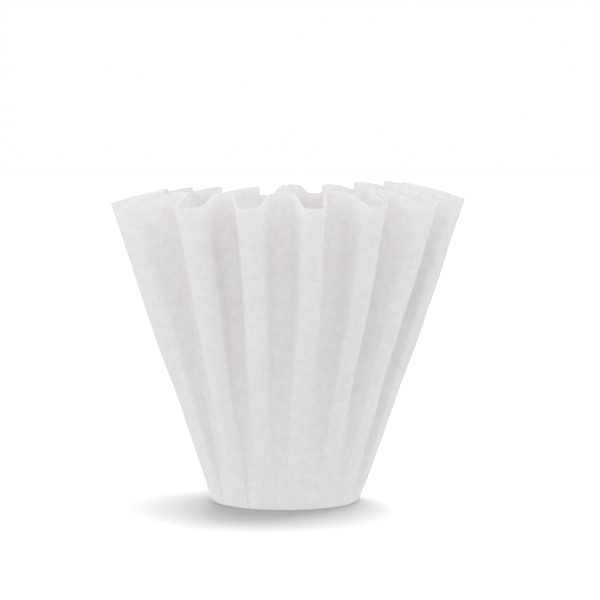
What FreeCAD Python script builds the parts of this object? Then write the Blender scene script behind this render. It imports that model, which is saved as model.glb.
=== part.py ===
import FreeCAD
import Part

import math
import os

# Paper coffee filter: a flat-bottomed cup pressed from one disc of thin paper.
# The floor is flat and turns up round a small base fold into the pleated wall. The wall is
# folded, not stretched, so every piece of it is flat: each pleat has two flat sides that
# start as a point on the base fold and widen to the rim, and between the sides the paper
# goes round a fold as a fan of narrow flat strips. All lengths are in millimetres and all
# angles in degrees. +X is to the right, -Y is to the front, +Z is up, and the origin is the
# middle of the floor's underside.

NODE = "paper_filter"

# Driving sizes
SIZES = {
    "paper": 0.2,             # thickness of the sheet
    "base_radius": 23.6,      # middle of the sheet where the base fold ends
    "base_fold": 1.2,         # radius of the base fold, at the middle of the sheet
    "outline_rise": 103.0,    # height of the plane on which the rim outline is laid out
    "mouth_shift": 0.65,      # the mouth stands this far to the right of the floor
    "slant_inset": 2.6,       # the wall's slant is measured from this far inside the base radius
    "slant_length": 101.6,    # from there to the sheet's edge
    "rim_lean": 3.2,          # tip of the rim about the floor's middle, right side up
    "fold_evenness": 0.25,    # 0 sets each fold out on the base at its own angle, 1 evenly
    "strip_turn": 16.0,       # the most that a fold turns from one strip to the next
    "rim_step": 6.0,          # the longest straight piece of the rim on a pleat's side
}

# The pleats, anticlockwise from the left: the angle of each fold from the front
RIDGE_ANGLES = [
    -95, -58.5, -32.5, -12, 8.5, 29, 50, 70, 95, 112, 128, 149, 170, 188, 209, 227, 246,
]
VALLEY_ANGLES = [
    -74, -48.5, -25, -2, 19, 38, 61, 84, 102.5, 121, 143, 161, 178, 193.5, 212, 231, 255,
]

# and, in the same order, how far from the mouth's centre the fold reaches at the outline's
# height, with the radius of the fold.
RIDGES = [
    (59, 3), (59.5, 3), (60, 5), (60, 4), (61, 4), (60.5, 4), (60.5, 4.5), (59.5, 3),
    (59.5, 3), (59.5, 3), (59.5, 3), (59, 3), (56.5, 2.5), (58, 3.5), (57, 3.5), (58.5, 3.5),
    (59.5, 3),
]
VALLEYS = [
    (40, 3), (41.5, 4.5), (42.5, 3.5), (43, 4), (43.5, 4), (42.5, 3), (38, 3), (39.5, 3.5),
    (38.5, 3), (37.5, 4), (40, 4), (44, 3.5), (43, 3.5), (46, 2.5), (43, 3), (41, 3.5),
    (39.5, 3),
]

FRONT = -90.0             # the front's direction, from +X
BASE_STRIPS = 3           # rings of flat strips round the base fold
SETTLING = 200            # rounds in which a corner settles between the panels that meet there
HALVINGS = 32             # rounds in which the sheet's edge is found on a line


def fill_sheet(doc):
    """Put the driving sizes and the pleats in a spreadsheet, each under its alias."""
    sheet = doc.addObject("Spreadsheet::Sheet", "Sizes")
    rows = list(SIZES.items())
    for kind, angles, folds in (("ridge", RIDGE_ANGLES, RIDGES), ("valley", VALLEY_ANGLES, VALLEYS)):
        for number, (angle, (reach, radius)) in enumerate(zip(angles, folds), 1):
            rows.append((f"{kind}_{number}_angle", angle))
            rows.append((f"{kind}_{number}_reach", reach))
            rows.append((f"{kind}_{number}_radius", radius))
    for row, (alias, value) in enumerate(rows, 1):
        sheet.set(f"A{row}", alias)
        sheet.set(f"B{row}", str(value))
        sheet.setAlias(f"B{row}", alias)
    doc.recompute()
    return sheet


def polar(bearing, distance=1.0, height=0.0):
    """The point at a bearing, a distance from the upright axis and a height."""
    return FreeCAD.Vector(distance * math.cos(bearing), distance * math.sin(bearing), height)


def fold_circles(sheet):
    """The circles that the rim outline wraps round, in order: (bearing, centre, radius, side).

    side is +1 where the sheet passes outside a ridge circle, -1 inside a valley circle.
    """
    circles = []
    for number in range(1, len(RIDGES) + 1):
        for kind, side in (("ridge", 1), ("valley", -1)):
            name = f"{kind}_{number}"
            bearing = math.radians(sheet.get(f"{name}_angle") + FRONT)
            radius = sheet.get(f"{name}_radius")
            distance = sheet.get(f"{name}_reach") - side * radius
            circles.append((bearing, polar(bearing, distance), radius, side))
    return circles


def leaving_directions(circles):
    """The direction from each circle's centre to where the sheet leaves it for the next."""
    directions = []
    for i, (_, first, first_radius, side) in enumerate(circles):
        _, second, second_radius, _ = circles[(i + 1) % len(circles)]
        across = second - first
        swing = math.acos((first_radius + second_radius) / across.Length)
        directions.append(math.atan2(across.y, across.x) - side * swing)
    return directions


def fold_outlines(sheet, circles):
    """For each fold, the corners of its strips on the outline's plane, its tip in the middle."""
    leaving = leaving_directions(circles)
    mouth = FreeCAD.Vector(sheet.mouth_shift, 0, sheet.outline_rise)
    outlines = []
    for i, (_, centre, radius, side) in enumerate(circles):
        arrival = leaving[i - 1] + math.pi
        turn = side * ((side * (leaving[i] - arrival)) % (2 * math.pi))
        half = max(1, math.ceil(abs(math.degrees(turn)) / 2 / sheet.strip_turn))
        directions = [arrival + turn * j / (2 * half) for j in range(2 * half + 1)]
        outlines.append([mouth + centre + polar(direction, radius) for direction in directions])
    return outlines


def foot_bearings(sheet, circles):
    """Bearings on the base fold of the corners between one fold and the next.

    A fold sets out from the base at its own angle, drawn a little towards an even share.
    """
    count = len(circles)
    share = 2 * math.pi / count
    own = [circles[0][0]]
    for bearing, *_ in circles[1:]:
        own.append(own[-1] + (bearing - own[-1]) % (2 * math.pi))
    drift = sum(bearing - i * share for i, bearing in enumerate(own)) / count
    evenness = sheet.fold_evenness
    middles = [bearing + evenness * (drift + i * share - bearing) for i, bearing in enumerate(own)]
    middles.append(middles[0] + 2 * math.pi)
    return [(here + following) / 2 for here, following in zip(middles, middles[1:])]


def mean_lean(sheet, circles):
    """How far the wall leans out from upright, between its ridges and its valleys."""
    reaches = [centre.Length + side * radius for _, centre, radius, side in circles]
    return math.atan2(sum(reaches) / len(reaches) - sheet.base_radius, sheet.outline_rise)


def trimmed(sheet, foot, top):
    """Where the line from the foot through a corner of the outline meets the sheet's edge.

    The edge keeps one slant length all round, about an axis that leans with the rim.
    """
    lean = math.radians(sheet.rim_lean)
    axis = FreeCAD.Vector(-math.sin(lean), 0, math.cos(lean))
    start_radius = sheet.base_radius - sheet.slant_inset
    low, high = 0.0, 2.0
    for _ in range(HALVINGS):
        share = (low + high) / 2
        point = foot + (top - foot) * share
        rise = point.dot(axis)
        out = (point - axis * rise).Length
        if math.hypot(out - start_radius, rise) < sheet.slant_length:
            low = share
        else:
            high = share
    return foot + (top - foot) * low


class FoldedSheet:
    """The middle of the paper: corners, and flat triangles between them."""

    def __init__(self):
        self.corners = []
        self.fixed_steps = {}
        self.triangles = []
        self.floor = []
        self.edge = []

    def corner(self, point, step=None):
        """Add a corner, with its own outward step where that is known."""
        self.corners.append(point)
        if step:
            self.fixed_steps[len(self.corners) - 1] = step
        return len(self.corners) - 1

    def panel(self, *corners):
        """Add a flat panel, its corners clockwise as seen from outside."""
        first = corners[0]
        for second, third in zip(corners[1:], corners[2:]):
            self.triangles.append((first, third, second))

    def outward_steps(self):
        """For each corner, the step that carries every triangle round it outwards by one."""
        around = [[] for _ in self.corners]
        for triangle in self.triangles:
            a, b, c = (self.corners[index] for index in triangle)
            normal = (b - a).cross(c - a).normalize()
            for index in triangle:
                around[index].append(normal)
        steps = []
        for index, normals in enumerate(around):
            step = self.fixed_steps.get(index)
            if not step:
                step = FreeCAD.Vector()
                for _ in range(SETTLING):
                    for normal in normals:
                        step += normal * ((1 - normal.dot(step)) / len(normals))
            steps.append(step)
        return steps


def fold_base(paper, sheet, bearings, lean):
    """Turn the floor up round the base fold, and return the foot of the wall."""
    fold = sheet.base_fold
    fold_centre = sheet.base_radius - fold * math.cos(lean)
    rings = []
    for row in range(BASE_STRIPS + 1):
        turn = (math.pi / 2 - lean) * row / BASE_STRIPS
        radius = fold_centre + fold * math.sin(turn)
        height = sheet.paper / 2 + fold * (1 - math.cos(turn))
        ring = []
        for bearing in bearings:
            outward = polar(bearing, math.sin(turn), -math.cos(turn)) if row < BASE_STRIPS else None
            ring.append(paper.corner(polar(bearing, radius, height), outward))
        rings.append(ring)
    for lower, upper in zip(rings, rings[1:]):
        for i in range(len(bearings)):
            paper.panel(lower[i - 1], upper[i - 1], upper[i], lower[i])
    paper.floor = rings[0]
    return rings[-1]


def fold_wall(paper, sheet, outlines, foot):
    """Rise from the foot to the trimmed edge: a fan of strips round each fold, then a side."""
    count = len(outlines)
    folds = []
    sides = []
    for i, outline in enumerate(outlines):
        before, after = paper.corners[foot[i - 1]], paper.corners[foot[i]]
        half = len(outline) // 2
        starts = [before] * half + [(before + after) * 0.5] + [after] * half
        folds.append([paper.corner(trimmed(sheet, *line)) for line in zip(starts, outline)])
        side_start, side_end = outline[-1], outlines[(i + 1) % count][0]
        across = side_end - side_start
        pieces = math.ceil(across.Length / sheet.rim_step)
        tops = [side_start + across * (piece / pieces) for piece in range(1, pieces)]
        sides.append([paper.corner(trimmed(sheet, after, top)) for top in tops])
        paper.edge += folds[-1] + sides[-1]
    for i, (fold, side) in enumerate(zip(folds, sides)):
        before, after = foot[i - 1], foot[i]
        tip = len(fold) // 2
        paper.panel(before, *fold[:tip + 1])
        paper.panel(before, fold[tip], after)
        paper.panel(after, *fold[tip:])
        paper.panel(after, fold[-1], *side, folds[(i + 1) % count][0])


def face(*points):
    return Part.Face(Part.makePolygon([*points, points[0]]))


def thicken(paper, thickness):
    """The solid between the two faces of the folded sheet, closed round its edge."""
    steps = [step * (thickness / 2) for step in paper.outward_steps()]
    outside = [point + step for point, step in zip(paper.corners, steps)]
    inside = [point - step for point, step in zip(paper.corners, steps)]
    faces = [
        face(*[outside[index] for index in reversed(paper.floor)]),
        face(*[inside[index] for index in paper.floor]),
    ]
    for a, b, c in paper.triangles:
        faces.append(face(outside[a], outside[b], outside[c]))
        faces.append(face(inside[a], inside[c], inside[b]))
    for here, following in zip(paper.edge, paper.edge[1:] + paper.edge[:1]):
        faces.append(face(outside[here], outside[following], inside[following]))
        faces.append(face(outside[here], inside[following], inside[here]))
    shell = Part.Shell(faces)
    shell.sewShape()
    return Part.Solid(shell)


def main():
    doc = FreeCAD.newDocument("PaperFilter")
    sheet = fill_sheet(doc)
    circles = fold_circles(sheet)
    lean = mean_lean(sheet, circles)
    paper = FoldedSheet()
    foot = fold_base(paper, sheet, foot_bearings(sheet, circles), lean)
    fold_wall(paper, sheet, fold_outlines(sheet, circles), foot)
    part = doc.addObject("Part::Feature", NODE)
    part.Label = NODE
    part.Shape = thicken(paper, sheet.paper)
    doc.recompute()
    for item in doc.Objects:
        if "Invalid" in item.State or "Error" in item.State:
            raise RuntimeError(f"{item.Label} failed: {item.State}")
    if part.Shape.isNull() or not part.Shape.isValid() or part.Shape.Volume <= 0:
        raise RuntimeError("the filter's solid is not valid")
    sheet_area = part.Shape.Volume / sheet.paper
    print(f"flat disc about {2 * math.sqrt(sheet_area / math.pi):.0f} mm across by its area")
    os.makedirs("parts", exist_ok=True)
    part.Shape.exportStep(f"parts/{NODE}.step")


main()
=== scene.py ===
import math

import bpy
import numpy as np
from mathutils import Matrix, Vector, noise


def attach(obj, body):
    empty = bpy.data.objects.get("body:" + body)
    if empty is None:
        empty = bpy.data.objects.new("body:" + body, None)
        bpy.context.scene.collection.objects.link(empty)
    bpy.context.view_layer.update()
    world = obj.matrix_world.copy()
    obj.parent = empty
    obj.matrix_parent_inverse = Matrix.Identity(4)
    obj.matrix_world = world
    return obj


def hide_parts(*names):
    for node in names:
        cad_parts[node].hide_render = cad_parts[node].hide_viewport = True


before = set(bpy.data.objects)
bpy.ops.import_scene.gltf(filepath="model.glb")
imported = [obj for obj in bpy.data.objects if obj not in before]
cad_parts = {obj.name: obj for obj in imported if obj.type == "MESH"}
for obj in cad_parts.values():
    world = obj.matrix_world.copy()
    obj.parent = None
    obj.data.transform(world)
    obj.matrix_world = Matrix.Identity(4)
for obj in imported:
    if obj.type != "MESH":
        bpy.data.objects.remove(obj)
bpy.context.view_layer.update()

# Paper coffee filter: one disc of thin paper pressed into a flat-bottomed pleated cup.
# Sizes are in metres, angles in degrees. +X is right, -Y is the front, +Z is up.

MM = 0.001

# The sheet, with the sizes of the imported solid
PAPER = 0.2 * MM
BASE_RADIUS = 23.6 * MM
BASE_FOLD = 1.2 * MM
OUTLINE_RISE = 103 * MM
MOUTH_SHIFT = 0.65 * MM
SLANT_INSET = 2.6 * MM
SLANT_LENGTH = 101.6 * MM
RIM_LEAN = 3.2
FOLD_EVENNESS = 0.25
FRONT = -90.0

# The pleats: angle from the front, reach in millimetres, radius of the fold in millimetres
RIDGES = [
    (-95, 59, 3), (-58.5, 59.5, 3), (-32.5, 60, 5), (-12, 60, 4), (8.5, 61, 4), (29, 60.5, 4),
    (50, 60.5, 4.5), (70, 59.5, 3), (95, 59.5, 3), (112, 59.5, 3), (128, 59.5, 3), (149, 59, 3),
    (170, 56.5, 2.5), (188, 58, 3.5), (209, 57, 3.5), (227, 58.5, 3.5), (246, 59.5, 3),
]
VALLEYS = [
    (-74, 40, 3), (-48.5, 41.5, 4.5), (-25, 42.5, 3.5), (-2, 43, 4), (19, 43.5, 4), (38, 42.5, 3),
    (61, 38, 3), (84, 39.5, 3.5), (102.5, 38.5, 3), (121, 37.5, 4), (143, 40, 4), (161, 44, 3.5),
    (178, 43, 3.5), (193.5, 46, 2.5), (212, 43, 3), (231, 41, 3.5), (255, 39.5, 3),
]

# Finding where the sheet's edge cuts the wall, as shares of the outline's height
TRIM_REACH = 2.0
TRIM_HALVINGS = 40

# How finely the sheet is meshed
ARC_STEP = 0.72 * MM      # along the rim, round a fold
SIDE_STEP = 1.05 * MM     # along the rim, on the flat side of a pleat
WALL_ROWS = 40
FOLD_ROWS = 4
FLOOR_RINGS = 3
SIDE_SHARE = 0.10         # how much of the base a side takes, against the folds beside it

# How the pressed paper departs from straight folds. Heights are shares of the wall's height
WANDER = 0.7 * MM         # folds drift sideways by this much
WANDER_SIZE = 34 * MM
WANDER_HEIGHT = 0.5       # the height by which they drift in full
BELLY = 1.0 * MM          # the right side stands out by this much low down
BELLY_SKEW = 0.6          # below 1 puts the belly lower
FLARE = 0.7 * MM          # the left side stands out by this much at the rim
BUCKLE = 0.35 * MM        # panels bulge in and out by this much
BUCKLE_SIZE = 15 * MM
BUCKLE_HEIGHT = 0.4       # the height by which they bulge in full
FOOT_HEIGHT = 0.16        # the height over which the wall's facing leaves that of the base fold
FLUTE = 0.10 * MM         # fine flutes pressed into the foot of the wall
FLUTES = 84
FLUTE_START = 0.04        # the height at which they are full
FLUTE_FADE = 0.17         # and the height over which they fade
FLUTE_FALL = 1.3
FLUTE_DRIFT = 3           # how unevenly they are spaced, in radians
FLUTE_DRIFT_SIZE = 0.35
FLUTE_CHANGE = 0.8        # how unevenly deep they are
FLUTE_CHANGE_SIZE = 0.12

# Paper. Colours are linear light
PAPER_LIGHT = (0.95, 0.93, 0.93, 1)
PAPER_DARK = (0.87, 0.85, 0.85, 1)
CLOUD_SCALE = 330         # the coarse mottle and the fine felt, in waves to a metre
FELT_SCALE = 1100
CLOUD_SHARE = 0.45
TONE_LOW = 0.38           # the mottle's values that come out darkest and lightest
TONE_HIGH = 0.62
GRAIN_DEPTH = 0.09 * MM
GRAIN_STRENGTH = 0.35
SOAK = 0.3 * MM           # how far light spreads in the paper

# Light
WORLD_LOW = 0.93          # near the floor's level
WORLD_HIGH = 1.05         # overhead
WORLD_TURN = 0.7          # the height of a direction at which it is full, with 1 straight up
LAMP_PLACE = (-1.3, -0.6, 0.25)
LAMP_TARGET = (0, 0, 0.05)
LAMP_SIZE = 0.6
LAMP_POWER = 0.5
FLOOR_TONE = 0.5          # the floor's own colour, as the camera sees it
FLOOR_BOUNCE = 0.66       # the light that the floor sends to the filter
FLOOR_LIGHTS = [          # bearing from +X, height, spread, strength
    (60, 78, 45, 5.0),
    (103, 35, 30, 2.2),
    (30, 65, 30, 1.2),
]
FLOOR_HALF = 4.0
FLOOR_DROP = 0.05 * MM    # keeps the floor clear of the filter's underside

# Camera
LENS = 151.5
SENSOR = 36
CAMERA_PLACE = (0, -0.8, 0.124)
CAMERA_DOWN = 4.3         # how far it looks below level
CAMERA_RIGHT = 0.337      # and to the right


def fold_circles():
    """Bearing, centre, radius and side of each fold at the outline's height, ridge and valley in turn."""
    circles = []
    for ridge, valley in zip(RIDGES, VALLEYS):
        for (angle, reach, radius), side in ((ridge, 1), (valley, -1)):
            bearing = math.radians(angle + FRONT)
            distance = (reach - side * radius) * MM
            centre = np.array([math.cos(bearing), math.sin(bearing)]) * distance
            circles.append((bearing, centre, radius * MM, side))
    return circles


def leaving_directions(circles):
    directions = []
    for i, (_, first, first_radius, side) in enumerate(circles):
        _, second, second_radius, _ = circles[(i + 1) % len(circles)]
        across = second - first
        swing = math.acos((first_radius + second_radius) / np.hypot(*across))
        directions.append(math.atan2(across[1], across[0]) - side * swing)
    return directions


def fold_middles(circles):
    """The bearing at which each fold's middle leaves the base."""
    share = 2 * math.pi / len(circles)
    own = [circles[0][0]]
    for bearing, *_ in circles[1:]:
        own.append(own[-1] + (bearing - own[-1]) % (2 * math.pi))
    drift = sum(bearing - i * share for i, bearing in enumerate(own)) / len(circles)
    return [b + FOLD_EVENNESS * (drift + i * share - b) for i, b in enumerate(own)]


def outline_columns():
    """Points round the outline, and the bearing on the base that each one rises from."""
    circles = fold_circles()
    leaving = leaving_directions(circles)
    middles = fold_middles(circles)
    middles.append(middles[0] + 2 * math.pi)
    count = len(circles)
    arcs = []
    for i, (_, centre, radius, side) in enumerate(circles):
        arrival = leaving[i - 1] + math.pi
        turn = side * ((side * (leaving[i] - arrival)) % (2 * math.pi))
        arcs.append((centre, radius, arrival, turn))

    def at(arc, share):
        centre, radius, arrival, turn = arc
        direction = arrival + turn * share
        return centre + radius * np.array([math.cos(direction), math.sin(direction)])

    tops = []
    bearings = []
    for i, arc in enumerate(arcs):
        following = arcs[(i + 1) % count]
        start, end = at(arc, 1.0), at(following, 0.0)
        half_turn = arc[1] * abs(arc[3]) / 2
        next_half = following[1] * abs(following[3]) / 2
        side = np.hypot(*(end - start))
        weights = np.array([half_turn, side * SIDE_SHARE, next_half])
        stations = middles[i] + np.cumsum(weights) / weights.sum() * (middles[i + 1] - middles[i])
        leave, arrive = stations[0], stations[1]
        for share in np.arange(0, 1, 1 / math.ceil(half_turn / ARC_STEP)):
            tops.append(at(arc, 0.5 + share / 2))
            bearings.append(middles[i] + (leave - middles[i]) * share)
        for share in np.arange(0, 1, 1 / math.ceil(side / SIDE_STEP)):
            tops.append(start + (end - start) * share)
            bearings.append(leave + (arrive - leave) * share)
        for share in np.arange(0, 1, 1 / math.ceil(next_half / ARC_STEP)):
            tops.append(at(following, share / 2))
            bearings.append(arrive + (middles[i + 1] - arrive) * share)
    return np.array(tops), np.array(bearings)


def trim(feet, tops):
    """Where the lines from the feet through the outline meet the sheet's round edge."""
    lean = math.radians(RIM_LEAN)
    axis = np.array([-math.sin(lean), 0, math.cos(lean)])
    low = np.zeros(len(feet))
    high = np.full(len(feet), TRIM_REACH)
    for _ in range(TRIM_HALVINGS):
        share = (low + high) / 2
        points = feet + (tops - feet) * share[:, None]
        rise = points @ axis
        out = np.linalg.norm(points - rise[:, None] * axis, axis=1)
        short = np.hypot(out - (BASE_RADIUS - SLANT_INSET), rise) < SLANT_LENGTH
        low = np.where(short, share, low)
        high = np.where(short, high, share)
    return feet + (tops - feet) * low[:, None]


def smooth(x):
    x = np.clip(x, 0, 1)
    return x * x * (3 - 2 * x)


def noise_field(points, size, seed):
    """One smooth value from -1 to 1 for each point."""
    shift = Vector((seed * 7.31, seed * 3.17, seed * 5.53))
    flat = points.reshape(-1, 3) / size
    values = [noise.noise(Vector(p) + shift) for p in flat]
    return np.array(values).reshape(points.shape[:-1])


def grid_normals(points):
    """Outward normals of a grid of rows from bottom to top, its columns a closed ring."""
    across = np.roll(points, -1, axis=1) - np.roll(points, 1, axis=1)
    up = np.gradient(points, axis=0)
    normals = np.cross(across, up)
    return normals / np.maximum(np.linalg.norm(normals, axis=2, keepdims=True), 1e-12)


def wall_facing(feet, foot_normals, wall, strength):
    """Outward normals of the wall, which start as those of the base fold."""
    straight = grid_normals(np.concatenate([feet[None], wall]))[1:]
    facing = foot_normals * (1 - strength) + straight * strength
    return facing / np.linalg.norm(facing, axis=2, keepdims=True)


def sheet_grid():
    """The middle of the sheet as rows from the floor's inner ring to the rim, and its normals."""
    tops, bearings = outline_columns()
    columns = len(bearings)
    around = np.stack([np.cos(bearings), np.sin(bearings), np.zeros(columns)], axis=1)
    upright = np.array([0.0, 0.0, 1.0])
    reaches = [reach for _, reach, _ in RIDGES + VALLEYS]
    lean = math.atan2(sum(reaches) / len(reaches) * MM - BASE_RADIUS, OUTLINE_RISE)
    fold_centre = BASE_RADIUS - BASE_FOLD * math.cos(lean)

    rows = []
    normals = []
    for ring in range(1, FLOOR_RINGS + 1):
        rows.append(around * fold_centre * ring / FLOOR_RINGS + upright * PAPER / 2)
        normals.append(np.tile(-upright, (columns, 1)))
    for row in range(1, FOLD_ROWS + 1):
        turn = (math.pi / 2 - lean) * row / FOLD_ROWS
        height = PAPER / 2 + BASE_FOLD * (1 - math.cos(turn))
        rows.append(around * (fold_centre + BASE_FOLD * math.sin(turn)) + upright * height)
        normals.append(around * math.sin(turn) - upright * math.cos(turn))

    feet = rows[-1]
    foot_normals = normals[-1]
    outline = np.column_stack([tops[:, 0] + MOUTH_SHIFT, tops[:, 1], np.full(columns, OUTLINE_RISE)])
    rim = trim(feet, outline)
    shares = np.arange(1, WALL_ROWS + 1) / WALL_ROWS
    wall = feet + (rim - feet) * shares[:, None, None]

    # the sides belly and flare, folds drift, panels buckle and the foot is fluted
    right, left = np.maximum(np.cos(bearings), 0), np.maximum(-np.cos(bearings), 0)
    wall[..., 0] += BELLY * np.sin(math.pi * shares ** BELLY_SKEW)[:, None] * right
    wall[..., 0] -= FLARE * shares[:, None] * left
    free = smooth(shares / WANDER_HEIGHT)[:, None]
    wall[..., 0] += WANDER * free * noise_field(wall, WANDER_SIZE, 1)
    wall[..., 1] += WANDER * free * noise_field(wall, WANDER_SIZE, 2)
    strength = smooth(shares / FOOT_HEIGHT)[:, None, None]
    facing = wall_facing(feet, foot_normals, wall, strength)
    bulge = BUCKLE * smooth(shares / BUCKLE_HEIGHT)[:, None] * noise_field(wall, BUCKLE_SIZE, 3)
    flutes = np.cos(FLUTES * bearings + FLUTE_DRIFT * noise_field(around, FLUTE_DRIFT_SIZE, 4))
    depth = FLUTE * (1 + FLUTE_CHANGE * noise_field(around, FLUTE_CHANGE_SIZE, 5))
    fade = np.exp(-(shares / FLUTE_FADE) ** FLUTE_FALL) * smooth(shares / FLUTE_START)
    wall += facing * (bulge + flutes * depth * fade[:, None])[..., None]
    facing = wall_facing(feet, foot_normals, wall, strength)

    points = np.concatenate([np.array(rows), wall])
    return points, np.concatenate([np.array(normals), facing])


def paper_mesh():
    """Both faces of the sheet, closed round the rim."""
    middle, normals = sheet_grid()
    rows, columns = middle.shape[:2]
    outside = middle + normals * (PAPER / 2)
    inside = middle - normals * (PAPER / 2)
    vertices = np.concatenate([outside.reshape(-1, 3), inside.reshape(-1, 3), [[0, 0, 0], [0, 0, PAPER]]])
    shift = rows * columns
    under, above = 2 * shift, 2 * shift + 1
    here = np.arange(shift).reshape(rows, columns)
    beside = np.roll(here, -1, axis=1)
    outer = np.stack([here[:-1], beside[:-1], beside[1:], here[1:]], axis=-1).reshape(-1, 4)
    inner = outer[:, ::-1] + shift
    rim = np.stack([here[-1], beside[-1], beside[-1] + shift, here[-1] + shift], axis=-1)
    faces = outer.tolist() + inner.tolist() + rim.tolist()
    faces += [(under, int(b), int(a)) for a, b in zip(here[0], beside[0])]
    faces += [(above, int(a) + shift, int(b) + shift) for a, b in zip(here[0], beside[0])]
    mesh = bpy.data.meshes.new("filter_sheet")
    mesh.from_pydata(vertices.tolist(), [], faces)
    mesh.validate()
    mesh.shade_smooth()
    mesh.set_sharp_from_angle(angle=math.radians(50))
    return mesh


def add_object(name, data):
    item = bpy.data.objects.new(name, data)
    bpy.context.scene.collection.objects.link(item)
    return item


class Nodes:
    """The node tree of a material or a world, with short ways to add and join nodes."""

    def __init__(self, owner):
        owner.use_nodes = True
        self.owner = owner
        self.tree = owner.node_tree
        self.tree.nodes.clear()

    def add(self, kind, **inputs):
        node = self.tree.nodes.new(kind)
        for name, value in inputs.items():
            self.put(node.inputs[name.replace("_", " ")], value)
        return node

    def put(self, socket, value):
        if isinstance(value, bpy.types.NodeSocket):
            self.tree.links.new(value, socket)
        else:
            socket.default_value = value

    def math(self, operation, first, second=0.0):
        node = self.tree.nodes.new("ShaderNodeMath")
        node.operation = operation
        self.put(node.inputs[0], first)
        self.put(node.inputs[1], second)
        return node.outputs[0]

    def noise(self, vector, scale, detail, roughness):
        node = self.add("ShaderNodeTexNoise", Vector=vector, Scale=scale, Detail=detail, Roughness=roughness)
        return node.outputs["Fac"]

    def mix_colour(self, share, first, second):
        node = self.tree.nodes.new("ShaderNodeMix")
        node.data_type = "RGBA"
        self.put(node.inputs["Factor"], share)
        self.put(node.inputs["A"], first)
        self.put(node.inputs["B"], second)
        return node.outputs["Result"]

    def ramp(self, value, low, high, start=0.0, stop=1.0):
        node = self.tree.nodes.new("ShaderNodeMapRange")
        self.put(node.inputs["Value"], value)
        self.put(node.inputs["From Min"], low)
        self.put(node.inputs["From Max"], high)
        self.put(node.inputs["To Min"], start)
        self.put(node.inputs["To Max"], stop)
        return node.outputs["Result"]

    def seen_by_camera(self):
        """1 where the camera looks, straight or in a mirror or glass, and 0 for the light on things."""
        path = self.tree.nodes.new("ShaderNodeLightPath")
        seen = self.math("MAXIMUM", path.outputs["Is Camera Ray"], path.outputs["Is Glossy Ray"])
        return self.math("MAXIMUM", seen, path.outputs["Is Transmission Ray"])

    def finish(self, surface, kind="ShaderNodeOutputMaterial"):
        output = self.tree.nodes.new(kind)
        self.tree.links.new(surface, output.inputs["Surface"])
        return self.owner


def paper_material():
    """Uncoated filter paper: matt, faintly mottled, with felted fibres and light soaking through it."""
    n = Nodes(bpy.data.materials.new("filter_paper"))
    place = n.tree.nodes.new("ShaderNodeTexCoord").outputs["Object"]
    cloud = n.noise(place, CLOUD_SCALE, 3.0, 0.6)
    felt = n.noise(place, FELT_SCALE, 3.0, 0.65)
    clouds = n.math("MULTIPLY", cloud, CLOUD_SHARE)
    mottle = n.math("ADD", clouds, n.math("MULTIPLY", felt, 1 - CLOUD_SHARE))
    tone = n.ramp(mottle, TONE_LOW, TONE_HIGH)
    colour = n.mix_colour(tone, PAPER_DARK, PAPER_LIGHT)
    grain = n.math("ADD", n.math("MULTIPLY", cloud, 0.5), felt)
    bump = n.add("ShaderNodeBump", Strength=GRAIN_STRENGTH, Distance=GRAIN_DEPTH, Height=grain)
    body = n.add("ShaderNodeBsdfPrincipled", Roughness=0.92, Normal=bump.outputs[0])
    n.put(body.inputs["Base Color"], colour)
    n.put(body.inputs["Specular IOR Level"], 0.2)
    n.put(body.inputs["Subsurface Weight"], 1.0)
    n.put(body.inputs["Subsurface Radius"], (1, 1, 1))
    n.put(body.inputs["Subsurface Scale"], SOAK)
    return n.finish(body.outputs[0])


def floor_material():
    """A table that shows the filter's shadow, and sends it the even light of a white table."""
    n = Nodes(bpy.data.materials.new("white_floor"))
    table = n.add("ShaderNodeBsdfDiffuse", Color=(FLOOR_TONE, FLOOR_TONE, FLOOR_TONE, 1))
    bounce = n.add("ShaderNodeEmission", Color=(1, 1, 1, 1), Strength=FLOOR_BOUNCE)
    both = n.add("ShaderNodeMixShader")
    n.put(both.inputs[0], n.seen_by_camera())
    n.put(both.inputs[1], bounce.outputs[0])
    n.put(both.inputs[2], table.outputs[0])
    return n.finish(both.outputs[0])


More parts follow.
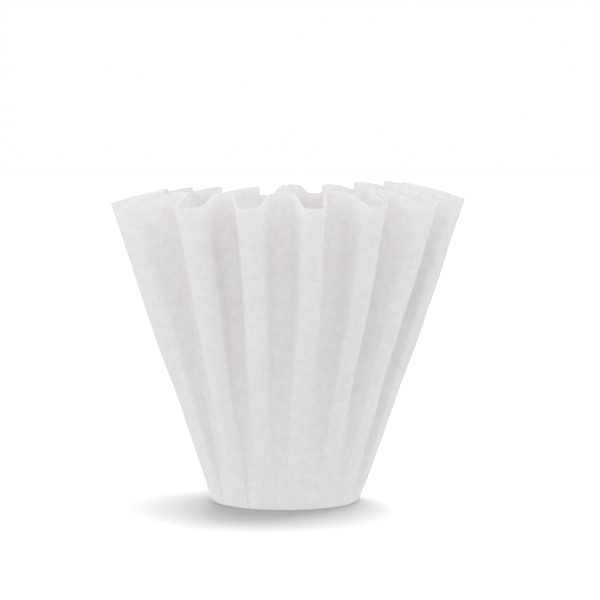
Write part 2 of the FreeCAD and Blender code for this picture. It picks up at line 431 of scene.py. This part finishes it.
def white_world():
    """Soft light all round, a little stronger overhead, and pure white behind the floor."""
    n = Nodes(bpy.data.worlds.new("studio"))
    direction = n.tree.nodes.new("ShaderNodeTexCoord").outputs["Generated"]
    height = n.add("ShaderNodeSeparateXYZ", Vector=direction).outputs["Z"]
    around = n.ramp(height, 0.0, WORLD_TURN, WORLD_LOW, WORLD_HIGH)
    strength = n.ramp(n.seen_by_camera(), 0.0, 1.0, around, 1.0)
    background = n.add("ShaderNodeBackground", Color=(1, 1, 1, 1), Strength=strength)
    bpy.context.scene.world = n.finish(background.outputs[0], "ShaderNodeOutputWorld")


def aim(item, place, target):
    item.location = place
    item.rotation_euler = (Vector(target) - Vector(place)).to_track_quat("-Z", "Y").to_euler()


def add_floor_lights(ground):
    """Soft suns that whiten the floor round the filter's shadow, and add no light to the filter."""
    lit = bpy.data.collections.new("lit_floor")
    lit.objects.link(ground)
    for number, (bearing, height, angle, strength) in enumerate(FLOOR_LIGHTS, 1):
        lamp = bpy.data.lights.new(f"floor_light_{number}", "SUN")
        lamp.angle = math.radians(angle)
        lamp.energy = strength
        item = add_object(lamp.name, lamp)
        flat = math.cos(math.radians(height))
        turn = math.radians(bearing)
        aim(item, (flat * math.cos(turn), flat * math.sin(turn), math.sin(math.radians(height))), (0, 0, 0))
        item.light_linking.receiver_collection = lit


def add_side_lamp():
    """A weak round lamp at the left."""
    lamp = bpy.data.lights.new("side_lamp", "AREA")
    lamp.shape = "DISK"
    lamp.size = LAMP_SIZE
    lamp.energy = LAMP_POWER
    aim(add_object(lamp.name, lamp), LAMP_PLACE, LAMP_TARGET)


def floor_mesh():
    mesh = bpy.data.meshes.new("floor")
    corners = [(-1, -1), (1, -1), (1, 1), (-1, 1)]
    mesh.from_pydata([(x * FLOOR_HALF, y * FLOOR_HALF, 0) for x, y in corners], [], [(0, 1, 2, 3)])
    return mesh


def add_camera():
    lens = bpy.data.cameras.new("camera")
    lens.lens = LENS
    lens.sensor_width = SENSOR
    lens.clip_start = 0.01
    camera = add_object("camera", lens)
    camera.location = CAMERA_PLACE
    camera.rotation_euler = (math.radians(90 - CAMERA_DOWN), 0, math.radians(-CAMERA_RIGHT))
    bpy.context.scene.camera = camera


sheet = add_object("filter_sheet", paper_mesh())
sheet.data.materials.append(paper_material())
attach(sheet, "root")
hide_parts("paper_filter")

floor = add_object("floor", floor_mesh())
floor.data.materials.append(floor_material())
floor.location.z = -FLOOR_DROP

white_world()
add_floor_lights(floor)
add_side_lamp()
add_camera()
bpy.context.scene.view_settings.view_transform = "Standard"
